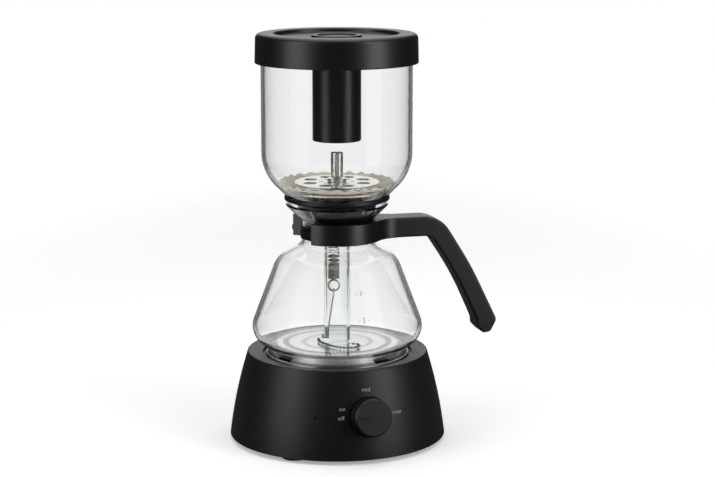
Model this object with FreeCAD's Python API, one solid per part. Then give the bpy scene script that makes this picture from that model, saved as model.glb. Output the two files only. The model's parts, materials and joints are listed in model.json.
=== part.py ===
import FreeCAD, Part
import math
import os

# Siphon coffee maker on an electric heating base.  Millimetres, +Z up.
# The origin is on the table under the centre of the base; the control knob faces -Y.

# ---- driving dimensions ------------------------------------------------------------------
CLEAR = 0.3                 # gap between pieces that move apart

FOOT_HEIGHT = 3.0           # the shell floats this far above the table
FOOT_RADIUS = 10.0
FOOT_CIRCLE = 69.8
FOOT_ANGLES = (45, 135, 225, 315)
FOOT_PEG_R = 4.1

SHELL_BOTTOM_R = 83.5
SHELL_MIDDLE_R = 78.1       # at half height: the side bulges a little
SHELL_TOP_R = 69.7
SHELL_TOP_Z = 68.4
SHELL_WALL = 2.6
SHELL_MOUTH_R = 57.4        # opening that takes the heating plate
SHELL_LIP_Z = 61.0          # lower end of the lip round the opening
COVER_R = 80.2
COVER_TOP_Z = 6.0
SCREW_ANGLES = (20, 160, 200, 340)
SCREW_CIRCLE = 70.0
SCREW_HOLE_R = 1.6
SHIELD_ANGLES = (90, 210, 330)
SHIELD_CIRCLE = 60.4
SHIELD_TOP_Z = SHELL_LIP_Z - 0.2
SHIELD_SHEET = 1.0
ELEMENT_CIRCLE = 34.0
ELEMENT_END_ANGLES = (110, 70)
CLIP_ANGLES = [22.5 + 90 * step - 90 for step in range(4)]
CLIP_WIDTH = 13.0

PLATE_EDGE_R = 55.3
PLATE_EDGE_Z = 66.8
PLATE_FLAT_R = 47.0
PLATE_TOP_Z = 72.5
PLATE_THICK = 1.2

KNOB_TILT = 12.0            # degrees that the knob's axis points up
KNOB_RADIUS_AT = 78.1       # distance of the knob's seat from the centre line
KNOB_Z = 34.4
KNOB_R = 15.0
KNOB_EDGE_R = 14.0          # where the tapering side ends
KNOB_FACE_R = 13.3
KNOB_PROUD = 11.0
RECESS_R = 15.7
RECESS_DEPTH = 2.2
SHAFT_R = 3.0
SHAFT_FIT = 0.05            # radial running clearance of the shaft
KNOB_UNDER = -RECESS_DEPTH + 0.4
CONTROL_FLOOR = -RECESS_DEPTH - 3.2
POINTER_WIDTH = 1.1
POINTER_DEPTH = 0.5

LED_ANGLE = -29.9           # degrees round the base from the knob
LED_Z = 34.8

GLASS_WALL = 1.8
JUG_BOTTOM_Z = PLATE_TOP_Z + CLEAR
JUG_TURN = -3.0             # degrees: where the handle points, from +X
NECK_R = 27.0
JUG_PATH = (                # outer outline (radius, height, rounding), from the centre out
    (0.0, JUG_BOTTOM_Z, 0.0),
    (72.2, JUG_BOTTOM_Z, 15.0),
    (46.2, 142.0, 20.0),
    (NECK_R, 152.5, 6.0),
    (NECK_R, 170.0, 8.0),
    (38.9, 181.9, 0.0),
)

UPPER_TURN = -18.0          # degrees: how the upper bowl and its filter sit in the neck
LEG_R = 10.0
LEG_BOTTOM_Z = 75.8
LEG_BEVEL = 2.8             # the leg's end is ground at a slant of this height
UPPER_RIM_Z = 305.9
UPPER_R = 57.7
UPPER_PATH = (              # outer outline (radius, height, rounding), from the leg's end up
    (LEG_R, LEG_BOTTOM_Z - 1.0, 0.0),
    (LEG_R, 176.5, 4.0),
    (37.0, 187.3, 14.0),
    (UPPER_R, 208.0, 36.0),
    (UPPER_R, UPPER_RIM_Z, 0.0),
)

BAND_BOTTOM_Z = 155.2
BAND_TOP_Z = 171.2
BAND_R = 34.0
BAND_OPEN_FROM = 137.5      # degrees from the handle, round the neck
BAND_OPEN_TO = 220.0
LUG_R = 38.6
LUG_SPAN = 10.0             # degrees
HANDLE_WIDTH = 20.0
HANDLE_EDGE = 1.6           # rounding along the edges of arm and grip
HANDLE_BLEND = 20.0         # hollow curve between band and arm, seen from above
PAD_WIDTH = 14.0            # raised pad on the grip's inner side
PAD_BEVEL = 2.2
HANDLE_SIDE = (             # (distance, height, rounding) from elbow to tip and back
    (80.4, BAND_TOP_Z - 0.2, 25.0),
    (105.9, 130.5, 275.0),
    (127.6, 86.0, 5.0),
    (122.6, 76.3, 4.0),
    (116.4, 75.4, 3.0),
    (111.4, 81.0, 2.0),
    (110.9, 86.2, 8.0),
    (94.0, 123.6, 260.0),
    (72.8, BAND_BOTTOM_Z + 0.2, 10.0),
)
PAD_SIDE = (
    (69.1, BAND_BOTTOM_Z + 1.0, 0.0),
    (91.4, 122.2, 260.0),
    (108.4, 85.6, 8.0),
    (109.4, 80.6, 1.5),
    (114.0, 78.6, 0.0),
    (114.0, 85.0, 0.0),
    (97.0, 123.0, 0.0),
    (76.0, BAND_BOTTOM_Z + 1.0, 0.0),
)
STRAP_Z = 161.0
STRAP_HALF_WIDTH = 4.0
STRAP_THICK = 0.8
STRAP_SCREW_R = 1.5

PAPER_Z = 195.3
PAPER_THICK = 0.6
PAPER_FLAT_R = 34.0
PAPER_EDGE_R = 44.3
PAPER_EDGE_RISE = 5.0
DISC_R = 33.0
DISC_TOP_Z = 199.5
DISC_THICK = 1.2
DISC_BORE_R = 4.0
POST_R = 4.7
POST_TOP_Z = 222.9
STUD_R = 2.0
STUD_BOTTOM_Z = 187.0
STUD_TOP_Z = 207.0
COLLAR_R = 7.4
DISC_HOLES = ((22.0, 22.5, 5.0), (12.0, 0.0, 1.6))    # circle, first angle, hole radius
DISC_HOLE_COUNT = 8
BASE_HOLES = ((6, 11.0, 1.8), (12, 19.0, 2.2), (16, 28.0, 2.6))    # count, circle, radius

SPRING_SHIFT = -2.6         # the spring hangs against one side of the leg
SPRING_R = 4.5
SPRING_TOP_Z = 184.0
COIL_TOP_Z = 137.0
COIL_BOTTOM_Z = 123.5
RING_CENTRE_Z = 118.6
HOOK_Z = 77.1
BEAD_R = 1.2
BEAD_Z = JUG_BOTTOM_Z + GLASS_WALL + BEAD_R + CLEAR
BEAD_STEP = 3.1
CHAIN_ROUTE = ((-14.4, -1.0), (-14.0, -7.0), (-11.0, -14.0), (-6.0, -22.0), (0.0, -28.0),
               (6.5, -31.0), (13.0, -30.0), (17.0, -25.0), (16.0, -18.5), (10.5, -17.0))
WIRE_WIDTH = 0.9            # of the spring's wire
RING_R = 4.2

LID_R = 62.1
LID_BOTTOM_Z = 290.5
LID_TOP_Z = 313.0
LID_UNDER_Z = 307.2
LID_FLOOR_Z = 309.8
LID_SKIRT_IN = 59.3
TUBE_R = 18.6
TUBE_WALL = 2.2
TUBE_BOTTOM_Z = 231.5

GLAND_Z = 15.0
GLAND_BORE_R = 3.5
GLAND_LENGTH = 14.0
GLAND_WIDTH = 15.4
BOARD_Z = 14.7              # middle of the circuit board's thickness

UP = FreeCAD.Vector(0, 0, 1)
ORIGIN = FreeCAD.Vector(0, 0, 0)


# ---- helpers -----------------------------------------------------------------------------
def point(r, z):
    return FreeCAD.Vector(r, 0, z)


def line(a, b):
    return Part.LineSegment(a, b).toShape()


def arc(a, middle, b):
    return Part.Arc(a, middle, b).toShape()


def rounded_edges(corners, closed=True):
    """Straight edges through (radius, height, rounding) corners, joined by tangent arcs."""
    count = len(corners)
    runs = []
    for i, (r, z, rounding) in enumerate(corners):
        here = point(r, z)
        at_end = not closed and i in (0, count - 1)
        if rounding <= 0 or at_end:
            runs.append((here, None, here))
            continue
        before = point(*corners[i - 1][:2]).sub(here).normalize()
        after = point(*corners[(i + 1) % count][:2]).sub(here).normalize()
        half = before.getAngle(after) / 2
        reach = rounding / math.tan(half)
        middle_way = before.add(after).normalize()
        summit = here.add(middle_way.multiply(rounding / math.sin(half) - rounding))
        runs.append((here.add(before.multiply(reach)), summit, here.add(after.multiply(reach))))
    edges = []
    for i, (start, summit, end) in enumerate(runs):
        if summit:
            edges.append(arc(start, summit, end))
        if i < count - 1 or closed:
            following = runs[(i + 1) % count][0]
            if end.distanceToPoint(following) > 1e-6:
                edges.append(line(end, following))
    return edges


def offset_path(corners, distance):
    """The same open outline moved sideways, to the left of its direction."""
    moved = []
    for i in range(len(corners) - 1):
        a = point(*corners[i][:2])
        b = point(*corners[i + 1][:2])
        way = b.sub(a).normalize()
        side = FreeCAD.Vector(-way.z, 0, way.x).multiply(distance)
        moved.append((a.add(side), b.add(side), way))
    result = [(moved[0][0].x, moved[0][0].z, 0.0)]
    for i in range(1, len(moved)):
        a, _, way_in = moved[i - 1]
        c, _, way_out = moved[i]
        turn = way_in.x * way_out.z - way_in.z * way_out.x
        gap = c.sub(a)
        along = (gap.x * way_out.z - gap.z * way_out.x) / turn
        meet = a.add(FreeCAD.Vector(way_in).multiply(along))
        rounding = corners[i][2] - distance * math.copysign(1, turn)
        result.append((meet.x, meet.z, max(rounding, 0.5)))
    result.append((moved[-1][1].x, moved[-1][1].z, 0.0))
    return result


def turned(edges, angle=360.0):
    """A solid turned round the Z axis from a closed outline."""
    face = Part.Face(Part.Wire(Part.__sortEdges__(edges)))
    solid = face.revolve(ORIGIN, UP, angle)
    return solid


def turned_corners(corners, angle=360.0):
    return turned(rounded_edges(corners), angle)


def glass_wall(corners):
    """A blown glass wall with a fire-rounded rim."""
    inner_corners = offset_path(corners, GLASS_WALL)
    outer = rounded_edges(corners, closed=False)
    inner = rounded_edges(inner_corners, closed=False)
    top_out = point(*corners[-1][:2])
    top_in = point(*inner_corners[-1][:2])
    before = point(*corners[-2][:2])
    way = top_out.sub(before).normalize()
    summit = top_out.add(top_in).multiply(0.5).add(way.multiply(GLASS_WALL / 2))
    start_out = point(*corners[0][:2])
    start_in = point(*inner_corners[0][:2])
    return turned(outer + inner + [arc(top_out, summit, top_in), line(start_out, start_in)])


def envelope(corners, gap):
    """The space inside an outline, grown by a gap, used to cut neighbours clear of the glass."""
    grown = offset_path(corners, -gap)
    edges = rounded_edges(grown, closed=False)
    first = point(*grown[0][:2])
    last = point(*grown[-1][:2])
    top_axis = point(0, last.z)
    bottom_axis = point(0, first.z)
    edges.append(line(last, top_axis))
    edges.append(line(top_axis, bottom_axis))
    if first.distanceToPoint(bottom_axis) > 1e-6:
        edges.append(line(bottom_axis, first))
    return turned(edges)


def disc(radius, bottom, top, x=0.0, y=0.0):
    return Part.makeCylinder(radius, top - bottom, FreeCAD.Vector(x, y, bottom), UP)


def ring(inner, outer, bottom, top):
    return disc(outer, bottom, top).cut(disc(inner, bottom, top))


def sector(inner, outer, bottom, top, start, end):
    """Part of a ring, between two angles in degrees."""
    corners = [(inner, bottom, 0), (outer, bottom, 0), (outer, top, 0), (inner, top, 0)]
    piece = turned_corners(corners, end - start)
    piece.rotate(ORIGIN, UP, start)
    return piece


def block(size, centre):
    low = FreeCAD.Vector(*centre).sub(FreeCAD.Vector(*size).multiply(0.5))
    return Part.makeBox(*size, low)


def around(radius, degrees):
    angle = math.radians(degrees)
    return radius * math.cos(angle), radius * math.sin(angle)


def fused(pieces):
    whole = pieces[0]
    for piece in pieces[1:]:
        whole = whole.fuse(piece)
    return whole.removeSplitter()


def bent_rod(points, radius):
    """A round wire through points, with ball joints at its bends."""
    stops = [FreeCAD.Vector(*p) for p in points]
    pieces = []
    for a, b in zip(stops, stops[1:]):
        pieces.append(Part.makeCylinder(radius, a.distanceToPoint(b), a, b.sub(a)))
    for joint in stops:
        pieces.append(Part.makeSphere(radius, joint))
    return fused(pieces)


def rotated(shape, degrees):
    copy = shape.copy()
    copy.rotate(ORIGIN, UP, degrees)
    return copy


def on_knob_axis(shape):
    """Places a piece made along +Z on the knob's tilted axis, at its seat on the shell."""
    copy = shape.copy()
    copy.rotate(ORIGIN, FreeCAD.Vector(1, 0, 0), 90 - KNOB_TILT)
    copy.translate(FreeCAD.Vector(0, -KNOB_RADIUS_AT, KNOB_Z))
    return copy


def on_led_axis(shape):
    """Places a piece made along +Z square to the shell at the indicator."""
    copy = shape.copy()
    copy.rotate(ORIGIN, FreeCAD.Vector(1, 0, 0), 90 - KNOB_TILT)
    copy.translate(FreeCAD.Vector(0, -KNOB_RADIUS_AT, LED_Z))
    copy.rotate(ORIGIN, UP, LED_ANGLE)
    return copy


# ---- heating base ------------------------------------------------------------------------

def shell_outline():
    """Outer side arc, a crisp top edge, the dished top and the lip of the opening."""
    inside_bottom = SHELL_BOTTOM_R - SHELL_WALL
    inside_middle = SHELL_MIDDLE_R - SHELL_WALL
    deck_z = SHELL_TOP_Z - 2.4
    corner_z = SHELL_TOP_Z - 1.0
    middle_z = (FOOT_HEIGHT + corner_z) / 2
    mouth_z = SHELL_TOP_Z - 1.2
    return [
        arc(point(SHELL_BOTTOM_R, FOOT_HEIGHT), point(SHELL_MIDDLE_R, middle_z),
            point(SHELL_TOP_R, corner_z)),
        arc(point(SHELL_TOP_R, corner_z), point(SHELL_TOP_R - 0.4, SHELL_TOP_Z - 0.2),
            point(SHELL_TOP_R - 1.2, SHELL_TOP_Z)),
        line(point(SHELL_TOP_R - 1.2, SHELL_TOP_Z), point(SHELL_MOUTH_R + 1, mouth_z)),
        arc(point(SHELL_MOUTH_R + 1, mouth_z), point(SHELL_MOUTH_R + 0.3, mouth_z - 0.3),
            point(SHELL_MOUTH_R, mouth_z - 1)),
        line(point(SHELL_MOUTH_R, mouth_z - 1), point(SHELL_MOUTH_R, SHELL_LIP_Z)),
        line(point(SHELL_MOUTH_R, SHELL_LIP_Z), point(SHELL_MOUTH_R + 3, SHELL_LIP_Z)),
        line(point(SHELL_MOUTH_R + 3, SHELL_LIP_Z), point(SHELL_MOUTH_R + 3, deck_z - 1)),
        line(point(SHELL_MOUTH_R + 3, deck_z - 1), point(SHELL_TOP_R - SHELL_WALL, deck_z - 1)),
        arc(point(SHELL_TOP_R - SHELL_WALL, deck_z - 1), point(inside_middle, middle_z),
            point(inside_bottom, FOOT_HEIGHT)),
        line(point(inside_bottom, FOOT_HEIGHT), point(SHELL_BOTTOM_R, FOOT_HEIGHT)),
    ]


def base_shell():
    shell = turned(shell_outline())
    solid_middle = turned_corners([(0, FOOT_HEIGHT, 0), (SHELL_BOTTOM_R - 1, FOOT_HEIGHT, 0),
                                   (SHELL_MIDDLE_R - 1, KNOB_Z, 0),
                                   (SHELL_TOP_R - 1, SHELL_TOP_Z - 2, 0),
                                   (0, SHELL_TOP_Z - 2, 0)])
    bosses = [disc(4.0, COVER_TOP_Z + 0.2, 46, *around(SCREW_CIRCLE, a)) for a in SCREW_ANGLES]
    bosses += [disc(2.6, SHIELD_TOP_Z + 0.2, SHELL_TOP_Z - 3, *around(SHIELD_CIRCLE, a))
               for a in SHIELD_ANGLES]
    knob_pad = on_knob_axis(disc(RECESS_R + 3, -RECESS_DEPTH - 3, -1.2))
    led_pad = on_led_axis(disc(4.0, -6, -1.0))
    extras = fused(bosses + [knob_pad, led_pad]).common(solid_middle)
    shell = shell.fuse(extras)
    cuts = [disc(SCREW_HOLE_R, COVER_TOP_Z, 20, *around(SCREW_CIRCLE, a)) for a in SCREW_ANGLES]
    cuts += [disc(1.1, SHIELD_TOP_Z, SHELL_TOP_Z - 5, *around(SHIELD_CIRCLE, a))
             for a in SHIELD_ANGLES]
    cuts.append(on_knob_axis(disc(RECESS_R, -RECESS_DEPTH, 6)))
    cuts.append(on_knob_axis(disc(SHAFT_R + 1, -12, 0)))
    cuts.append(on_led_axis(disc(1.5, -10, 3)))
    notch_top = GLAND_Z + 7.0
    cuts.append(block((GLAND_WIDTH + 0.6, 20.0, notch_top), (0, SHELL_BOTTOM_R - 2, notch_top / 2)))
    return shell.cut(Part.makeCompound(cuts)).removeSplitter()


def bottom_cover():
    cover = disc(COVER_R, FOOT_HEIGHT + 0.2, COVER_TOP_Z)
    board_under = BOARD_Z - 0.9
    pillars = [disc(3.0, COVER_TOP_Z - 0.5, board_under, x, y)
               for x in (-22, 22) for y in (18, 46)]
    cover = fused([cover] + pillars)
    cuts = [disc(1.8, 0, 10, *around(SCREW_CIRCLE, a)) for a in SCREW_ANGLES]
    cuts += [disc(3.4, 0, 5.3, *around(SCREW_CIRCLE, a)) for a in SCREW_ANGLES]
    cuts += [disc(FOOT_PEG_R + 0.1, 0, 10, *around(FOOT_CIRCLE, a)) for a in FOOT_ANGLES]
    for row in range(-3, 4):
        cuts.append(block((34, 2.4, 12), (0, row * 6.0 - 28, 4)))
    cuts.append(block((GLAND_WIDTH + 1.2, 20.0, 30), (0, SHELL_BOTTOM_R - 3, 10)))
    return cover.cut(Part.makeCompound(cuts))


def foot(degrees):
    """A round rubber foot, pressed into the cover by a ribbed peg."""
    corners = [(0, 0, 0), (FOOT_RADIUS, 0, 1.0), (FOOT_RADIUS, FOOT_HEIGHT + 0.15, 0.5),
               (FOOT_PEG_R, FOOT_HEIGHT + 0.15, 0), (FOOT_PEG_R, COVER_TOP_Z + 0.1, 0),
               (4.9, COVER_TOP_Z + 0.1, 0), (3.4, COVER_TOP_Z + 2.2, 0), (0, COVER_TOP_Z + 2.2, 0)]
    piece = turned_corners(corners)
    x, y = around(FOOT_CIRCLE, degrees)
    piece.translate(FreeCAD.Vector(x, y, 0))
    return piece


def screw(head_r, head_z, shank_r, tip_z, x, y):
    """A screw driven in from below, with a cross slot in its head."""
    head = disc(head_r, head_z, head_z + 1.4, x, y)
    shank = disc(shank_r, head_z, tip_z, x, y)
    slot = block((head_r * 1.2, 0.6, 1.0), (x, y, head_z))
    cross = block((0.6, head_r * 1.2, 1.0), (x, y, head_z))
    return head.fuse(shank).cut(slot).cut(cross)


def cover_screws():
    return Part.makeCompound([screw(3.2, 3.8, 1.5, 18, *around(SCREW_CIRCLE, a))
                              for a in SCREW_ANGLES])


def heater_plate():
    """Polished plate: a flat seat for the jug, a sloping flank with four slots and a skirt."""
    under = PLATE_TOP_Z - PLATE_THICK
    corners = [(0, PLATE_TOP_Z, 0), (PLATE_FLAT_R, PLATE_TOP_Z, 3.0),
               (PLATE_EDGE_R - 1.5, PLATE_EDGE_Z + 0.6, 1.5), (PLATE_EDGE_R, PLATE_EDGE_Z, 0.6),
               (PLATE_EDGE_R, SHIELD_TOP_Z, 0), (PLATE_EDGE_R - PLATE_THICK, SHIELD_TOP_Z, 0),
               (PLATE_EDGE_R - PLATE_THICK, PLATE_EDGE_Z - 1.0, 0.5),
               (PLATE_FLAT_R - 0.6, under, 1.8), (0, under, 0)]
    plate = turned_corners(corners)
    for angle in CLIP_ANGLES:
        slot = block((3.6, CLIP_WIDTH + 1.0, 6.0), (PLATE_EDGE_R - 3.8, 0, PLATE_EDGE_Z + 1.2))
        plate = plate.cut(rotated(slot, angle))
    return plate


def bowl_clips():
    """Four dark leaf springs that look out of the slots and centre the jug."""
    clips = []
    for angle in CLIP_ANGLES:
        leaf = block((0.8, CLIP_WIDTH, 8.6), (PLATE_EDGE_R - 3.6, 0, SHIELD_TOP_Z + 4.4))
        toe = block((2.6, CLIP_WIDTH, 0.8), (PLATE_EDGE_R - 4.3, 0, SHIELD_TOP_Z + 0.5))
        clips.append(rotated(fused([leaf, toe]), angle))
    return Part.makeCompound(clips)


def plate_gasket():
    return ring(PLATE_EDGE_R + 0.1, SHELL_MOUTH_R - 0.1, SHIELD_TOP_Z, PLATE_EDGE_Z - 1.4)


def heating_element():
    """A tubular element bent into an open ring, with its two cold ends turned down."""
    tube_r = 3.2
    z = PLATE_TOP_Z - PLATE_THICK - tube_r - 0.05
    section = Part.Face(Part.Wire(Part.makeCircle(tube_r, point(ELEMENT_CIRCLE, z),
                                                  FreeCAD.Vector(0, 1, 0))))
    first, last = ELEMENT_END_ANGLES
    loop = section.revolve(ORIGIN, UP, 360 + last - first + 12)
    loop.rotate(ORIGIN, UP, first - 6)
    ends = []
    for angle in ELEMENT_END_ANGLES:
        x, y = around(ELEMENT_CIRCLE, angle)
        ends.append(disc(2.3, z - 9.0, z, x, y))
        ends.append(disc(1.2, z - 14.0, z - 8.0, x, y))
    return fused([loop] + ends)


def heat_shield():
    """Bright pan that hangs from the shell's lip under the element."""
    flange_z = SHIELD_TOP_Z
    floor_z = flange_z - 8.0
    flange_r = SHIELD_CIRCLE + 2.8
    under_z = flange_z - SHIELD_SHEET
    inside_z = floor_z + SHIELD_SHEET
    corners = [(0, floor_z, 0), (48, floor_z, 2.5), (50, under_z, 0.6),
               (flange_r, under_z, 0), (flange_r, flange_z, 0), (49.2, flange_z, 0.6),
               (47.0, inside_z, 1.5), (0, inside_z, 0)]
    pan = turned_corners(corners)
    cuts = [disc(1.4, flange_z - 3, flange_z + 3, *around(SHIELD_CIRCLE, a))
            for a in SHIELD_ANGLES]
    cuts += [disc(4.4, floor_z - 3, floor_z + 3, *around(ELEMENT_CIRCLE, a))
             for a in ELEMENT_END_ANGLES]
    cuts.append(disc(9.4, floor_z - 3, floor_z + 3))
    return pan.cut(Part.makeCompound(cuts))


def shield_screws():
    flange_bottom = SHIELD_TOP_Z - SHIELD_SHEET
    return Part.makeCompound([screw(2.4, flange_bottom - 1.4, 1.0, SHELL_TOP_Z - 5.2,
                                    *around(SHIELD_CIRCLE, a))
                              for a in SHIELD_ANGLES])


def thermostat():
    """Round sensor pressed against the middle of the plate, on a ceramic body."""
    top = PLATE_TOP_Z - PLATE_THICK - 0.05
    return fused([disc(6.5, top - 3, top), disc(9.0, top - 22, top - 3),
                  block((22, 5, 1.0), (0, 0, top - 20))])


def thermal_fuse():
    x, y = around(22.0, 250)
    z = SHIELD_TOP_Z - 4.4
    barrel = Part.makeCylinder(2.2, 14, FreeCAD.Vector(x - 7, y, z), FreeCAD.Vector(1, 0, 0))
    wire = Part.makeCylinder(0.5, 30, FreeCAD.Vector(x - 15, y, z), FreeCAD.Vector(1, 0, 0))
    return barrel.fuse(wire)


def circuit_board():
    """Board on four pillars, with a relay and a round choke on its seat."""
    board = block((56, 40, 1.6), (0, 32, BOARD_Z))
    relay = block((16, 12, 14), (-16, 34, BOARD_Z + 7.7))
    choke = Part.makeCylinder(5.5, 12, FreeCAD.Vector(12, 22, BOARD_Z + 6.3),
                              FreeCAD.Vector(0, 1, 0))
    choke_seat = block((8, 12, 3), (12, 28, BOARD_Z + 1.9))
    return fused([board, relay, choke, choke_seat])


def terminal_block():
    middle_x = 2
    middle_y = 47
    body = block((24, 8, 9), (middle_x, middle_y, BOARD_Z + 5.4))
    holes = [disc(1.6, BOARD_Z + 5.3, 30, middle_x + side * 8, middle_y) for side in (-1, 0, 1)]
    return body.cut(Part.makeCompound(holes))


def potentiometer():
    """Rotary control behind the shell: a round can on a threaded bush, bored for the shaft."""
    floor = CONTROL_FLOOR
    can = disc(10.5, floor - 13.0, floor - 4.0)
    bush = disc(SHAFT_R + 1.6, floor - 4.0, floor)
    bore = disc(SHAFT_R + SHAFT_FIT, floor - 9.0, floor)
    tags = block((12, 8, 1.0), (0, -12, floor - 9.0))
    return on_knob_axis(fused([can, bush, tags]).cut(bore))


def pot_bracket():
    floor = CONTROL_FLOOR
    plate = block((34, 26, 1.2), (0, 0, floor - 3.2))
    ears = [block((1.2, 26, 3.4), (side * 16.4, 0, floor - 1.9)) for side in (-1, 1)]
    hole = disc(SHAFT_R + 1.8, floor - 6, floor)
    return on_knob_axis(fused([plate] + ears).cut(hole))


def indicator_lens():
    corners = [(0, -5.0, 0), (1.35, -5.0, 0), (1.35, 0.25, 0.3), (0, 0.45, 0)]
    return on_led_axis(turned_corners(corners))


def indicator_led():
    body = disc(1.3, -9.0, -5.4).fuse(disc(1.8, -10.0, -9.0))
    legs = [disc(0.25, -16.0, -9.5, x, 0) for x in (-0.9, 0.9)]
    return on_led_axis(fused([body] + legs))


def cord_gland():
    """Ribbed grommet in the notch at the back, bored for a lead."""
    outer_y = SHELL_BOTTOM_R - 0.4
    height = GLAND_Z + 6.4 - COVER_TOP_Z
    body = block((GLAND_WIDTH, GLAND_LENGTH, height), (0, outer_y - GLAND_LENGTH / 2 - 0.8,
                                                COVER_TOP_Z + height / 2))
    inside = block((22.0, 3.0, height - 1.0), (0, outer_y - GLAND_LENGTH + 0.6,
                                               COVER_TOP_Z + height / 2))
    bore = Part.makeCylinder(GLAND_BORE_R, GLAND_LENGTH + 10,
                             FreeCAD.Vector(0, outer_y - GLAND_LENGTH - 6, GLAND_Z),
                             FreeCAD.Vector(0, 1, 0))
    return fused([body, inside]).cut(bore)


# ---- control knob ------------------------------------------------------------------------
def control_knob():
    corners = [(0, KNOB_UNDER, 0), (KNOB_R, KNOB_UNDER, 0.4), (KNOB_EDGE_R, KNOB_PROUD - 0.8, 0.3),
               (KNOB_FACE_R, KNOB_PROUD, 0.4), (0, KNOB_PROUD, 0)]
    body = turned_corners(corners)
    groove = block((KNOB_R, POINTER_WIDTH, 2 * POINTER_DEPTH), (-KNOB_R / 2 - 1.2, 0, KNOB_PROUD))
    hollow = ring(6.0, KNOB_R - 3.0, KNOB_UNDER - 1, KNOB_PROUD - 3.5)
    hub_bore = disc(SHAFT_R, KNOB_UNDER - 1, KNOB_PROUD - 4.0)
    return on_knob_axis(body.cut(groove).cut(hollow).cut(hub_bore))


def knob_pointer():
    """Dark inlay in the groove, pointing left at rest."""
    length = KNOB_FACE_R - 1.6
    return on_knob_axis(block((length, POINTER_WIDTH - 0.1, POINTER_DEPTH - 0.05),
                              (-length / 2 - 1.3, 0, KNOB_PROUD - POINTER_DEPTH / 2 - 0.025)))


def knob_shaft():
    floor = CONTROL_FLOOR
    shaft = disc(SHAFT_R, floor - 8.6, KNOB_PROUD - 4.0)
    flat = block((SHAFT_R * 2, 2.0, 8.0), (0, SHAFT_R - 0.2 + 1.0, KNOB_PROUD - 8.0))
    return on_knob_axis(shaft.cut(flat))


# ---- lower bowl and handle ---------------------------------------------------------------
def lower_bowl():
    return glass_wall(JUG_PATH)


def extruded(corners, width):
    """A bar with the given side outline, centred on the handle's middle plane."""
    side = Part.Face(Part.Wire(Part.__sortEdges__(rounded_edges(corners))))
    bar = side.extrude(FreeCAD.Vector(0, width, 0))
    bar.translate(FreeCAD.Vector(0, -width / 2, 0))
    return bar


def on_side(edge, width):
    return abs(abs(edge.CenterOfMass.y) - width / 2) < 0.01


def arm_and_grip():
    root = NECK_R + 3
    corners = [(root, HANDLE_SIDE[0][1], 0.0)] + list(HANDLE_SIDE) + [(root, HANDLE_SIDE[-1][1], 0.0)]
    bar = extruded(corners, HANDLE_WIDTH)
    long_edges = [e for e in bar.Edges
                  if on_side(e, HANDLE_WIDTH) and e.CenterOfMass.x > root + 1]
    return bar.makeFillet(HANDLE_EDGE, long_edges)


def grip_pad():
    """Raised pad with bevelled sides where the fingers close round the grip."""
    pad = extruded(PAD_SIDE, PAD_WIDTH)
    inner = [e for e in pad.Edges if on_side(e, PAD_WIDTH)
             and e.CenterOfMass.x < 73 + (BAND_BOTTOM_Z - e.CenterOfMass.z) / 2 and e.Length > 8]
    return pad.makeChamfer(PAD_BEVEL, inner)


def arm_blend(side):
    """Filling between band and arm with a hollow outer face; side is 1 or -1."""
    half = HANDLE_WIDTH / 2
    reach = math.sqrt((BAND_R + HANDLE_BLEND) ** 2 - (half + HANDLE_BLEND) ** 2)
    centre = FreeCAD.Vector(reach, side * (half + HANDLE_BLEND), BAND_BOTTOM_Z + 0.2)
    touch = FreeCAD.Vector(centre).multiply(BAND_R / (BAND_R + HANDLE_BLEND))
    touch.z = centre.z
    corners = [touch, centre, FreeCAD.Vector(reach, side * half, centre.z),
               FreeCAD.Vector(reach, side * (half - 3), centre.z),
               FreeCAD.Vector(NECK_R + 1, side * (half - 3), centre.z), touch]
    height = BAND_TOP_Z - BAND_BOTTOM_Z - 0.4
    slab = Part.Face(Part.makePolygon(corners)).extrude(FreeCAD.Vector(0, 0, height))
    return slab.cut(Part.makeCylinder(HANDLE_BLEND, height, centre, UP))


def handle():
    """Neck band, arm and grip in one moulding; the band is open on the far side."""
    band_turn = 360 - (BAND_OPEN_TO - BAND_OPEN_FROM)
    corners = [(NECK_R, BAND_BOTTOM_Z, 0), (BAND_R, BAND_BOTTOM_Z, 0.8),
               (BAND_R, BAND_TOP_Z, 0.8), (NECK_R, BAND_TOP_Z, 0)]
    band = turned_corners(corners, band_turn)
    band.rotate(ORIGIN, UP, BAND_OPEN_TO)
    lug = sector(NECK_R, LUG_R, BAND_BOTTOM_Z - 0.3, BAND_TOP_Z + 0.3,
                 BAND_OPEN_FROM - LUG_SPAN, BAND_OPEN_FROM)
    pieces = [band, lug, arm_and_grip(), grip_pad(), arm_blend(1), arm_blend(-1)]
    whole = fused(pieces).cut(envelope(JUG_PATH, 0.25))
    strap_room = sector(NECK_R, NECK_R + 1.4, STRAP_Z - STRAP_HALF_WIDTH - 0.1,
                        STRAP_Z + STRAP_HALF_WIDTH + 0.1, BAND_OPEN_FROM - 18, BAND_OPEN_TO + 14)
    lug_x, lug_y = around(1.0, BAND_OPEN_FROM - LUG_SPAN / 2)
    screw_way = FreeCAD.Vector(lug_x, lug_y, 0)
    screw_from = FreeCAD.Vector(lug_x, lug_y, 0).multiply(NECK_R)
    screw_from.z = STRAP_Z
    screw_hole = Part.makeCylinder(STRAP_SCREW_R, 20, screw_from, screw_way)
    return rotated(whole.cut(strap_room).cut(screw_hole), JUG_TURN)


def neck_strap():
    """Thin steel strip that closes the band across its open side."""
    strip = sector(NECK_R + 0.35, NECK_R + 0.35 + STRAP_THICK, STRAP_Z - STRAP_HALF_WIDTH,
                   STRAP_Z + STRAP_HALF_WIDTH, BAND_OPEN_FROM - 17.5, BAND_OPEN_TO + 13.5)
    return rotated(strip, JUG_TURN)


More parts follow.
